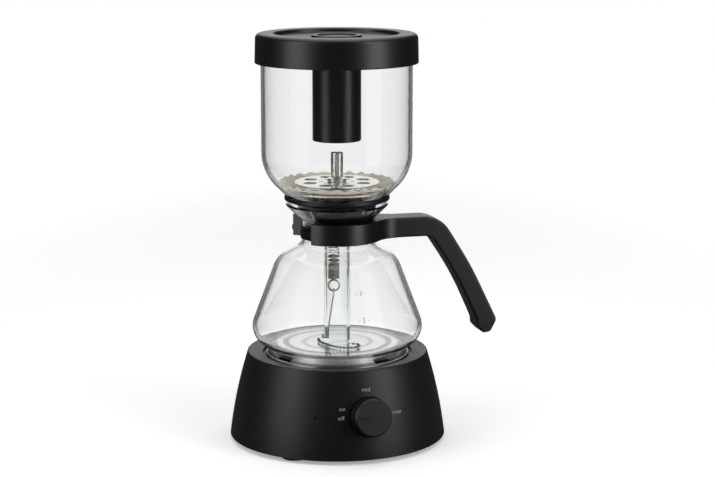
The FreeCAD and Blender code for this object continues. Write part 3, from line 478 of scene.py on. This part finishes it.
def make_materials():
    plastic, glass, steel = settings("plastic"), settings("glass"), settings("metal")
    grain = plastic.grain
    knob_grain = grain * 0.6
    return {
        "black_shell": moulded("black_shell", plastic.shell, grain, 0.55, 0.42, 0.08, 0.45),
        "black_satin": moulded("black_satin", plastic.satin, knob_grain, 0.22, 0.36, 0.07, 0.5),
        "black_gloss": moulded("black_gloss", plastic.gloss, grain, 0.02, 0.30, 0.04, 0.3),
        "black_rubber": moulded("black_rubber", plastic.rubber, grain, 0.12, 0.42, 0.10, 0.4),
        "clear_glass": clear_glass("clear_glass", glass.tint, glass.edge),
        "chain_steel": metal("chain_steel", (0.30, 0.295, 0.285), 2600.0, 0.05, 0.14),
        "bright_steel": metal("bright_steel", (0.90, 0.89, 0.87), 2600.0, 0.10, 0.24),
        "plate_steel": plate_steel("plate_steel", (0.92, 0.92, 0.91)),
        "brushed_steel": metal("brushed_steel", tuple(steel.steel), 1500.0, 0.5, 0.30),
        "dark_steel": metal("dark_steel", (0.07, 0.07, 0.072), 1800.0, 0.25, 0.28),
        "aluminium": metal("aluminium", (0.62, 0.63, 0.64), 900.0, 0.5, 0.38),
        "paper": paper("paper", settings("paper").tone),
        "spring_wire": metal("spring_wire", (0.34, 0.31, 0.27), 2200.0, 0.1, 0.20),
        "board_green": moulded("board_green", (0.02, 0.13, 0.05), grain, 0.1, 0.35, 0.1, 0.5, 0.3),
        "ceramic": moulded("ceramic", (0.70, 0.68, 0.62), grain, 0.1, 0.30, 0.1, 0.5),
        "lens_dark": moulded("lens_dark", (0.006, 0.004, 0.004), grain, 0.01, 0.10, 0.02, 0.5),
        "pale_inlay": moulded("pale_inlay", (0.004, 0.004, 0.004), knob_grain, 0.1, 0.5, 0.05, 0.3),
        "print": ink("print", plastic.print),
        "glass_marks": ink("glass_marks", glass.marks, 0.5),
    }


MATERIALS = {}


def finish_of(name):
    if not MATERIALS:
        MATERIALS.update(make_materials())
    return MATERIALS[name]


def dress(node, name):
    """Gives a carried-over part its finish."""
    part = frame["nodes"][node]
    part.data.materials.clear()
    part.data.materials.append(finish_of(name))


# ---- mesh helpers ------------------------------------------------------------------------
def finished(name, mesh, material):
    """A new piece in the scene, with its finish."""
    piece = bpy.data.objects.new(name, mesh)
    bpy.context.scene.collection.objects.link(piece)
    mesh.materials.clear()
    mesh.materials.append(finish_of(material))
    return piece


def link_mesh(name, mesh, material, body):
    """A finished piece that moves with one body."""
    piece = finished(name, mesh, material)
    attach(piece, body)
    return piece


def mesh_from(verts, faces, name):
    """Smooth mesh with its faces turned outward."""
    mesh = bpy.data.meshes.new(name)
    mesh.from_pydata([tuple(v) for v in verts], [], faces)
    mesh.validate()
    builder = bmesh.new()
    builder.from_mesh(mesh)
    bmesh.ops.recalc_face_normals(builder, faces=builder.faces)
    builder.to_mesh(mesh)
    builder.free()
    mesh.shade_smooth()
    return mesh


def tube_along(points, radius, sides=10, closed=False):
    """Vertices and faces of a round wire along points, with a frame carried along the line."""
    count = len(points)
    verts = []
    faces = []
    side = None
    for i, here in enumerate(points):
        before = points[i - 1] if (i or closed) else here
        after = points[(i + 1) % count] if (i < count - 1 or closed) else here
        way = (after - before).normalized()
        if side is None:
            side = way.orthogonal().normalized()
        side = (side - way * side.dot(way)).normalized()
        other = way.cross(side)
        for k in range(sides):
            turn = 2 * math.pi * k / sides
            verts.append(here + (side * math.cos(turn) + other * math.sin(turn)) * radius)
    rows = count if closed else count - 1
    for i in range(rows):
        for k in range(sides):
            a = i * sides + k
            b = i * sides + (k + 1) % sides
            c = ((i + 1) % count) * sides + (k + 1) % sides
            d = ((i + 1) % count) * sides + k
            faces.append((a, b, c, d))
    if not closed:
        faces.append(tuple(reversed(range(sides))))
        faces.append(tuple(range((count - 1) * sides, count * sides)))
    return verts, faces


def joined(pieces):
    """Several runs of vertices and faces as one."""
    verts, faces = [], []
    for more_verts, more_faces in pieces:
        start = len(verts)
        verts += more_verts
        faces += [tuple(i + start for i in face) for face in more_faces]
    return verts, faces


def ball(centre, radius, rings=10, sides=16):
    """One ball of the chain."""
    verts = [centre + UP * radius]
    faces = []
    for i in range(1, rings):
        tilt = math.pi * i / rings
        for k in range(sides):
            turn = 2 * math.pi * k / sides
            verts.append(centre + Vector((math.sin(tilt) * math.cos(turn),
                                          math.sin(tilt) * math.sin(turn),
                                          math.cos(tilt))) * radius)
    verts.append(centre - UP * radius)
    last = len(verts) - 1
    for k in range(sides):
        nxt = (k + 1) % sides
        faces.append((0, 1 + k, 1 + nxt))
        for i in range(rings - 2):
            a = 1 + i * sides
            faces.append((a + k, a + sides + k, a + sides + nxt, a + nxt))
        base = 1 + (rings - 2) * sides
        faces.append((last, base + nxt, base + k))
    return verts, faces


def upper_frame(point):
    """From the filter's own directions to the frame's."""
    return Matrix.Rotation(UPPER_TURN, 4, "Z") @ point


# ---- dial words and cup marks ------------------------------------------------------------
def shell_arc():
    """Centre and radius of the arc that the shell's side follows, from its lowest to top edge."""
    low, middle, high = (Vector(point) * MM for point in SHELL_SIDE)
    a = middle - low
    b = high - low
    cross = 2 * (a.x * b.y - a.y * b.x)
    centre = low + Vector((b.y * a.length_squared - a.y * b.length_squared,
                           a.x * b.length_squared - b.x * a.length_squared)) / cross
    return centre, (low - centre).length


def shell_radius(z):
    """Outer radius of the base's shell at a height."""
    centre, radius = shell_arc()
    return centre.x + math.sqrt(max(radius ** 2 - (z - centre.y) ** 2, 0))


def on_shell(across, up, lift):
    """A point of the dial's plane, laid on the shell's round side."""
    z = KNOB_SEAT_Z + up * math.cos(KNOB_TILT)
    radius = shell_radius(z) + lift
    return Vector((across, -math.sqrt(radius ** 2 - across ** 2), z))


def word_mesh(word, size):
    """Flat mesh of a word, centred on its own middle."""
    curve = bpy.data.curves.new("word", "FONT")
    curve.body = word
    curve.size = size
    curve.offset = -0.005 * size
    curve.align_x = "CENTER"
    curve.align_y = "CENTER"
    curve.resolution_u = 4
    holder = bpy.data.objects.new("word", curve)
    bpy.context.scene.collection.objects.link(holder)
    bpy.context.view_layer.update()
    graph = bpy.context.evaluated_depsgraph_get()
    mesh = bpy.data.meshes.new_from_object(holder.evaluated_get(graph))
    bpy.data.objects.remove(holder)
    bpy.data.curves.remove(curve)
    return mesh


def solid_print(mesh, place):
    """Bends a flat print through place(x, y, lift) and gives it the thickness of ink."""
    builder = bmesh.new()
    builder.from_mesh(mesh)
    bmesh.ops.remove_doubles(builder, verts=builder.verts, dist=1e-7)
    top = bmesh.ops.extrude_face_region(builder, geom=builder.faces[:])
    lifted = {part for part in top["geom"] if isinstance(part, bmesh.types.BMVert)}
    for v in builder.verts:
        v.co = place(v.co.x, v.co.y, INK if v in lifted else -INK)
    bmesh.ops.recalc_face_normals(builder, faces=builder.faces)
    builder.to_mesh(mesh)
    builder.free()
    return mesh


class SIPHON_OT_dial(bpy.types.Operator):
    """Prints the dial's words round the control knob"""
    bl_idname = "siphon.dial"
    bl_label = "Dial words"

    def execute(self, context):
        for word, degrees, far in DIAL_WORDS:
            turn = math.radians(degrees)
            across = far * MM * math.cos(turn)
            up = far * MM * math.sin(turn)
            mesh = word_mesh(word, WORD_SIZE)
            solid_print(mesh, lambda x, y, lift: on_shell(across + x, up + y, lift))
            link_mesh("dial_" + word, mesh, "print", "base")
        return {"FINISHED"}


# ---- pieces ------------------------------------------------------------------------------
class SIPHON_OT_base(bpy.types.Operator):
    """Finishes the heating base: shell, cover, feet, grommet and lamp"""
    bl_idname = "siphon.base"
    bl_label = "Heating base"

    def execute(self, context):
        dress("base_shell", "black_shell")
        dress("bottom_cover", "black_satin")
        dress("plate_gasket", "black_rubber")
        dress("cord_gland", "black_rubber")
        for number in range(1, 5):
            dress("foot_%d" % number, "black_rubber")
        dress("cover_screws", "brushed_steel")
        dress("indicator_lens", "lens_dark")
        dress("indicator_led", "lens_dark")
        return {"FINISHED"}


class SIPHON_OT_heating_plate(bpy.types.Operator):
    """Finishes the heating plate, its clips and the parts under it"""
    bl_idname = "siphon.heating_plate"
    bl_label = "Heating plate"

    def execute(self, context):
        dress("heater_plate", "plate_steel")
        dress("bowl_clips", "dark_steel")
        dress("heating_element", "brushed_steel")
        dress("heat_shield", "aluminium")
        dress("shield_screws", "brushed_steel")
        dress("thermostat", "ceramic")
        dress("thermal_fuse", "ceramic")
        dress("circuit_board", "board_green")
        dress("terminal_block", "ceramic")
        dress("potentiometer", "brushed_steel")
        dress("pot_bracket", "brushed_steel")
        return {"FINISHED"}


class SIPHON_OT_knob(bpy.types.Operator):
    """Finishes the control knob, its pointer and its shaft"""
    bl_idname = "siphon.knob"
    bl_label = "Control knob"

    def execute(self, context):
        dress("control_knob", "black_satin")
        dress("knob_pointer", "pale_inlay")
        dress("knob_shaft", "brushed_steel")
        return {"FINISHED"}


class SIPHON_OT_lower_bowl(bpy.types.Operator):
    """Finishes the lower glass bowl with its handle, strap and screw"""
    bl_idname = "siphon.lower_bowl"
    bl_label = "Lower bowl"

    def execute(self, context):
        dress("lower_bowl", "clear_glass")
        dress("handle", "black_satin")
        dress("neck_strap", "dark_steel")
        dress("strap_screw", "dark_steel")
        return {"FINISHED"}


def jug_radius(z):
    """Outer radius of the lower bowl's cone at a height between its floor and its shoulder."""
    low, high = (Vector(point) * MM for point in JUG_SIDE)
    return low.x + (high.x - low.x) * (z - low.y) / (high.y - low.y)


def on_jug(middle, height, x, y, lift):
    """A point of a flat print, wrapped on the cone round the given angle and height."""
    z = height + y * math.cos(JUG_SLOPE)
    radius = jug_radius(z) + lift
    turn = middle + x / radius
    return Vector((radius * math.cos(turn), radius * math.sin(turn), z))


class SIPHON_OT_cup_marks(bpy.types.Operator):
    """Prints the marks for two and three cups on the lower bowl"""
    bl_idname = "siphon.cup_marks"
    bl_label = "Cup marks"

    def execute(self, context):
        wish = settings("glass")
        for number, height in (("3", wish.three_cups), ("2", wish.two_cups)):
            mesh = word_mesh("- " + number + " -", MARK_SIZE)
            solid_print(mesh, lambda x, y, lift: on_jug(wish.mark_turn, height, x, y, lift))
            link_mesh("cup_mark_" + number, mesh, "glass_marks", "jug")
        return {"FINISHED"}


class SIPHON_OT_upper_bowl(bpy.types.Operator):
    """Finishes the upper glass bowl and its rubber seal"""
    bl_idname = "siphon.upper_bowl"
    bl_label = "Upper bowl"

    def execute(self, context):
        dress("upper_bowl", "clear_glass")
        dress("bowl_seal", "black_rubber")
        return {"FINISHED"}


class SIPHON_OT_filter(bpy.types.Operator):
    """Finishes the filter's plates, post, stud and washer"""
    bl_idname = "siphon.filter"
    bl_label = "Filter"

    def execute(self, context):
        for node in ("filter_base", "filter_stud", "clamp_disc", "clamp_post"):
            dress(node, "bright_steel")
        dress("clamp_washer", "black_rubber")
        return {"FINISHED"}


def paper_point(radius, turn, base_z, edge, rim_z, wish):
    """Flat under the disc, then rising along the glass with waves that grow to the rim."""
    if radius <= PAPER_FLAT:
        return Vector((radius * math.cos(turn), radius * math.sin(turn), base_z))
    rise = (radius - PAPER_FLAT) / (edge - PAPER_FLAT)
    ripple = math.sin(wish.waves * turn) + 0.35 * math.sin((wish.waves + 5) * turn + 1.3)
    z = base_z + (rim_z - base_z) * rise ** 1.2 + wish.wave_height * rise ** 1.5 * ripple * 0.5
    reach = radius * (1 - 0.012 * rise * (1 + math.sin(wish.waves * turn + 0.9)))
    return Vector((reach * math.cos(turn), reach * math.sin(turn), z))


class SIPHON_OT_paper(bpy.types.Operator):
    """Cuts the round paper filter and waves its rim"""
    bl_idname = "siphon.paper"
    bl_label = "Paper filter"

    def execute(self, context):
        wish = settings("paper")
        low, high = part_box("paper_filter")
        edge = high.x
        base_z = low.z + 0.1 * MM
        rim_z = high.z - 1.4 * MM
        sides = 312
        steps = 14
        radii = [PAPER_HOLE, 12 * MM, 24 * MM, 31 * MM, PAPER_FLAT]
        radii += [PAPER_FLAT + (edge - PAPER_FLAT) * step / steps for step in range(1, steps + 1)]
        verts = [paper_point(radius, 2 * math.pi * k / sides, base_z, edge, rim_z, wish)
                 + UP * layer * PAPER_THICK
                 for layer in (0, 1) for radius in radii for k in range(sides)]
        rows = len(radii)
        above = rows * sides
        faces = []
        for k in range(sides):
            nxt = (k + 1) % sides
            for i in range(rows - 1):
                for start in (i * sides, above + i * sides):
                    faces.append((start + k, start + nxt, start + sides + nxt, start + sides + k))
            for start in (0, (rows - 1) * sides):
                faces.append((start + k, start + nxt, start + above + nxt, start + above + k))
        mesh = mesh_from(verts, faces, "filter_paper")
        piece = link_mesh("filter_paper", mesh, "paper", "upper")
        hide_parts("paper_filter")
        return {"FINISHED"}


def helix(radius, bottom, top, turns, per_turn=24):
    """Points of the spring's wire, from its lowest turn to its highest."""
    count = turns * per_turn
    points = []
    for i in range(count + 1):
        turn = 2 * math.pi * i / per_turn
        point = Vector((SPRING_SHIFT + radius * math.cos(turn), radius * math.sin(turn),
                        bottom + (top - bottom) * i / count))
        points.append(upper_frame(point))
    return points


def collar(z, sides=36):
    """Ring of thicker wire round the spring's lower end."""
    turns = [2 * math.pi * k / sides for k in range(sides)]
    loop = [upper_frame(Vector((SPRING_SHIFT + COLLAR_R * math.cos(turn),
                                COLLAR_R * math.sin(turn), z))) for turn in turns]
    return tube_along(loop, COLLAR_WIRE, 12, closed=True)


class SIPHON_OT_spring(bpy.types.Operator):
    """Winds the filter spring: stretched turns above, tight turns and two collars below"""
    bl_idname = "siphon.spring"
    bl_label = "Filter spring"

    def execute(self, context):
        wish = settings("metal")
        wire = wish.wire / 2
        radius = SPRING_R - wire
        low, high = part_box("filter_spring")
        turns = helix(radius, low.z + wire, high.z - wire, wish.open_turns)
        mesh = mesh_from(*tube_along(turns, wire), "spring_open")
        opened = finished("spring_open", mesh, "spring_wire")
        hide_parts("filter_spring")
        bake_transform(opened)
        low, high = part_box("spring_coil")
        tight_top = high.z - COLLAR_ZONE
        turns = helix(radius, low.z + wire, tight_top - wire, wish.closed_turns)
        pieces = [tube_along(turns, wire), collar(tight_top + 0.8 * MM), collar(high.z - 0.8 * MM)]
        mesh = mesh_from(*joined(pieces), "spring_closed")
        tight = link_mesh("spring_closed", mesh, "spring_wire", "hook")
        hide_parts("spring_coil")
        dress("hook_ring", "spring_wire")
        dress("hook_wire", "spring_wire")
        return {"FINISHED"}


def evenly(stops, step):
    """Points at even steps along a run of stops."""
    points = []
    to_go = 0.0
    for here, after in zip(stops, stops[1:]):
        run = after - here
        while to_go < run.length:
            points.append(here + run.normalized() * to_go)
            to_go += step
        to_go -= run.length
    return points


class SIPHON_OT_chain(bpy.types.Operator):
    """Threads the ball chain that lies in a loose loop on the floor of the bowl"""
    bl_idname = "siphon.chain"
    bl_label = "Ball chain"

    def execute(self, context):
        bead = settings("metal").bead
        low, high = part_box("bead_chain")
        level = (low.z + high.z) / 2
        stops = [upper_frame(Vector((x * MM, y * MM, level))) for x, y in CHAIN_ROUTE]
        pieces = [tube_along(stops, bead * 0.28, 8)]
        pieces += [ball(centre, bead) for centre in evenly(stops, CHAIN_STEP)]
        mesh = mesh_from(*joined(pieces), "ball_chain")
        chain = finished("ball_chain", mesh, "chain_steel")
        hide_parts("bead_chain")
        # it lies still on the floor while the hook above it is pulled
        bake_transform(chain)
        return {"FINISHED"}


class SIPHON_OT_lid(bpy.types.Operator):
    """Finishes the lid, its raised ring and the hollow stand tube"""
    bl_idname = "siphon.lid"
    bl_label = "Lid"

    def execute(self, context):
        dress("lid_cap", "black_satin")
        dress("lid_boss", "black_satin")
        dress("stand_tube", "black_gloss")
        return {"FINISHED"}


# ---- stage -------------------------------------------------------------------------------
def soft_light(name, place, size, power):
    """A softbox that looks at the object and isn't seen through glass."""
    data = bpy.data.lights.new(name, "AREA")
    data.shape = "RECTANGLE"
    data.size, data.size_y = size
    data.energy = power
    lamp = bpy.data.objects.new(name, data)
    lamp.visible_transmission = False
    bpy.context.scene.collection.objects.link(lamp)
    lamp.location = place
    lamp.rotation_euler = (Vector(AIM) - Vector(place)).to_track_quat("-Z", "Y").to_euler()
    return lamp


def light_only(lamp, parts, name):
    """Lets a lamp light only some parts."""
    chosen = bpy.data.collections.new(name)
    for part in parts:
        chosen.objects.link(part)
    lamp.light_linking.receiver_collection = chosen


def from_camera(azimuth, degrees, distance, height):
    """A point round the object, measured from the camera's side, positive to its right."""
    turn = azimuth + math.radians(degrees)
    return Vector((distance * math.sin(turn), -distance * math.cos(turn), height))


class SIPHON_OT_stage(bpy.types.Operator):
    """Sets the pale floor, the soft lights, the room and the camera"""
    bl_idname = "siphon.stage"
    bl_label = "Stage"

    def execute(self, context):
        wish = settings("stage")
        scene = context.scene
        azimuth = wish.azimuth
        self.floor(scene, wish)
        glass = [frame["nodes"]["lower_bowl"], frame["nodes"]["upper_bowl"]]
        inner = [part for part in bpy.data.objects if part.name.startswith(INSIDE_GLASS)]
        solid = [part for part in bpy.data.objects
                 if part.type == "MESH" and part not in glass and part not in inner]
        for name, degrees, width, share_of in SIDE_BOXES:
            place = from_camera(azimuth, degrees, 1.3, 0.45)
            power = wish.side_light * share_of
            for kind, parts, level in (("solid", solid, 1.0), ("glass", glass, wish.glass_share),
                                       ("inner", inner, 1.0)):
                title = name + "_" + kind
                lamp = soft_light(title + "_box", place, (width, 1.6), power * level)
                light_only(lamp, parts, title + "_lights")
                # what stands inside the glass is lit through it
                lamp.data.cycles.use_multiple_importance_sampling = kind != "inner"
        soft_light("top_box", from_camera(azimuth, 180, 0.25, 1.9), (2.4, 2.4), wish.top_light)
        self.room(scene, wish)
        self.camera(scene, wish)
        scene.view_settings.view_transform = "Standard"
        scene.cycles.max_bounces = 24
        scene.cycles.transmission_bounces = 20
        scene.cycles.transparent_max_bounces = 16
        scene.cycles.glossy_bounces = 8
        return {"FINISHED"}

    def floor(self, scene, wish):
        """Pale paper that fades into the white room at its edges; it throws little light back."""
        mesh = bpy.data.meshes.new("floor")
        reach = 3.0
        mesh.from_pydata([(-reach, -reach, 0), (reach, -reach, 0), (reach, reach, 0),
                          (-reach, reach, 0)], [], [(0, 1, 2, 3)])
        floor = bpy.data.objects.new("floor", mesh)
        floor.location.z = -0.2 * MM
        floor.rotation_euler.z = wish.azimuth
        scene.collection.objects.link(floor)
        material, kit, shader = new_material("floor")
        shader.inputs["Roughness"].default_value = 0.9
        shader.inputs["Specular IOR Level"].default_value = 0.0
        seen = kit.add("ShaderNodeLightPath")
        pale = kit.math("MAXIMUM", seen.outputs["Is Camera Ray"], seen.outputs["Is Transmission Ray"])
        mix = kit.add("ShaderNodeMix", data_type="RGBA")
        kit.link(pale, mix.inputs[0])
        mix.inputs[6].default_value = opaque(tuple(t * wish.bounce for t in wish.floor))
        mix.inputs[7].default_value = opaque(wish.floor)
        kit.link(mix.outputs[2], shader.inputs["Base Color"])
        shader.inputs["Emission Color"].default_value = (1, 1, 1, 1)
        kit.link(kit.math("MULTIPLY", pale, wish.floor_glow), shader.inputs["Emission Strength"])
        place = kit.add("ShaderNodeSeparateXYZ")
        kit.link(kit.add("ShaderNodeTexCoord").outputs["Object"], place.inputs[0])
        across = kit.math("DIVIDE", place.outputs["X"], 0.52)
        deep = kit.math("DIVIDE", place.outputs["Y"], 1.3)
        far = kit.math("SQRT", kit.math("ADD", kit.math("MULTIPLY", across, across),
                                        kit.math("MULTIPLY", deep, deep)))
        kit.link(kit.range(far, 0.6, 1.0, 1.0, 0.0), shader.inputs["Alpha"])
        mesh.materials.append(material)

    def room(self, scene, wish):
        """A dim room with a white card behind the object, which the glass shows; dark beside it."""
        world = bpy.data.worlds.new("room")
        scene.world = world
        world.use_nodes = True
        kit = Nodes(world.node_tree)
        sky = world.node_tree.nodes["Background"]
        sky.inputs["Color"].default_value = (1, 1, 1, 1)
        way = kit.add("ShaderNodeTexCoord").outputs["Generated"]
        beside = kit.add("ShaderNodeVectorMath", operation="DOT_PRODUCT")
        kit.link(way, beside.inputs[0])
        beside.inputs[1].default_value = (math.cos(wish.azimuth), math.sin(wish.azimuth), 0)
        beyond = kit.add("ShaderNodeVectorMath", operation="DOT_PRODUCT")
        kit.link(way, beyond.inputs[0])
        beyond.inputs[1].default_value = (-math.sin(wish.azimuth), math.cos(wish.azimuth), 0)
        off_middle = kit.math("ABSOLUTE", beside.outputs["Value"])
        middle = kit.range(off_middle, math.sin(wish.card), math.sin(wish.card * 1.5), 1.0, 0.0)
        narrow = kit.range(off_middle, math.sin(wish.card * 0.5), math.sin(wish.card * 0.8), 1.0, 0.0)
        behind = kit.range(beyond.outputs["Value"], 0.0, 0.2, 0.0, 1.0)
        seen = kit.add("ShaderNodeLightPath")
        carded = kit.math("MAXIMUM", kit.math("MULTIPLY", seen.outputs["Is Transmission Ray"], middle),
                          kit.math("MULTIPLY", seen.outputs["Is Glossy Ray"], narrow))
        # straight through clear glass the room is white all round
        mirrored = kit.math("ADD", seen.outputs["Glossy Depth"], seen.outputs["Diffuse Depth"])
        straight = kit.math("MULTIPLY", seen.outputs["Is Transmission Ray"],
                            kit.range(mirrored, 0.0, 1.0, wish.surround, 0.0))
        shown = kit.math("MAXIMUM", kit.math("MAXIMUM", seen.outputs["Is Camera Ray"], straight),
                         kit.math("MULTIPLY", carded, behind))
        kit.link(kit.range(shown, 0.0, 1.0, wish.sky, 1.0), sky.inputs["Strength"])

    def camera(self, scene, wish):
        data = bpy.data.cameras.new("camera")
        data.sensor_width = 36.0
        data.lens = wish.lens
        data.clip_start = 0.01
        camera = bpy.data.objects.new("camera", data)
        scene.collection.objects.link(camera)
        right = Vector((math.cos(wish.azimuth), math.sin(wish.azimuth), 0))
        camera.location = from_camera(wish.azimuth, 0, wish.distance, wish.height)
        camera.location += right * wish.sideways
        camera.rotation_euler = (math.pi / 2 - wish.pitch, 0, wish.azimuth)
        scene.camera = camera


OPERATORS = (SIPHON_OT_base, SIPHON_OT_dial, SIPHON_OT_heating_plate, SIPHON_OT_knob,
             SIPHON_OT_lower_bowl, SIPHON_OT_cup_marks, SIPHON_OT_upper_bowl, SIPHON_OT_filter,
             SIPHON_OT_paper, SIPHON_OT_spring, SIPHON_OT_chain, SIPHON_OT_lid, SIPHON_OT_stage)


class SIPHON_PT_panel(bpy.types.Panel):
    bl_idname = "SIPHON_PT_panel"
    bl_label = "Siphon coffee maker"
    bl_space_type = "VIEW_3D"
    bl_region_type = "UI"
    bl_category = "Siphon"

    def draw(self, context):
        for operator in OPERATORS:
            self.layout.operator(operator.bl_idname)


def register():
    for name, kind in SETTINGS.items():
        bpy.utils.register_class(kind)
        setattr(bpy.types.Scene, "siphon_" + name, bpy.props.PointerProperty(type=kind))
    for operator in OPERATORS:
        bpy.utils.register_class(operator)
    bpy.utils.register_class(SIPHON_PT_panel)


def unregister():
    bpy.utils.unregister_class(SIPHON_PT_panel)
    for operator in reversed(OPERATORS):
        bpy.utils.unregister_class(operator)
    for name, kind in reversed(SETTINGS.items()):
        delattr(bpy.types.Scene, "siphon_" + name)
        bpy.utils.unregister_class(kind)


def main():
    register()
    for operator in OPERATORS:
        group_name, call = operator.bl_idname.split(".")
        getattr(getattr(bpy.ops, group_name), call)()


if __name__ == "__main__":
    main()
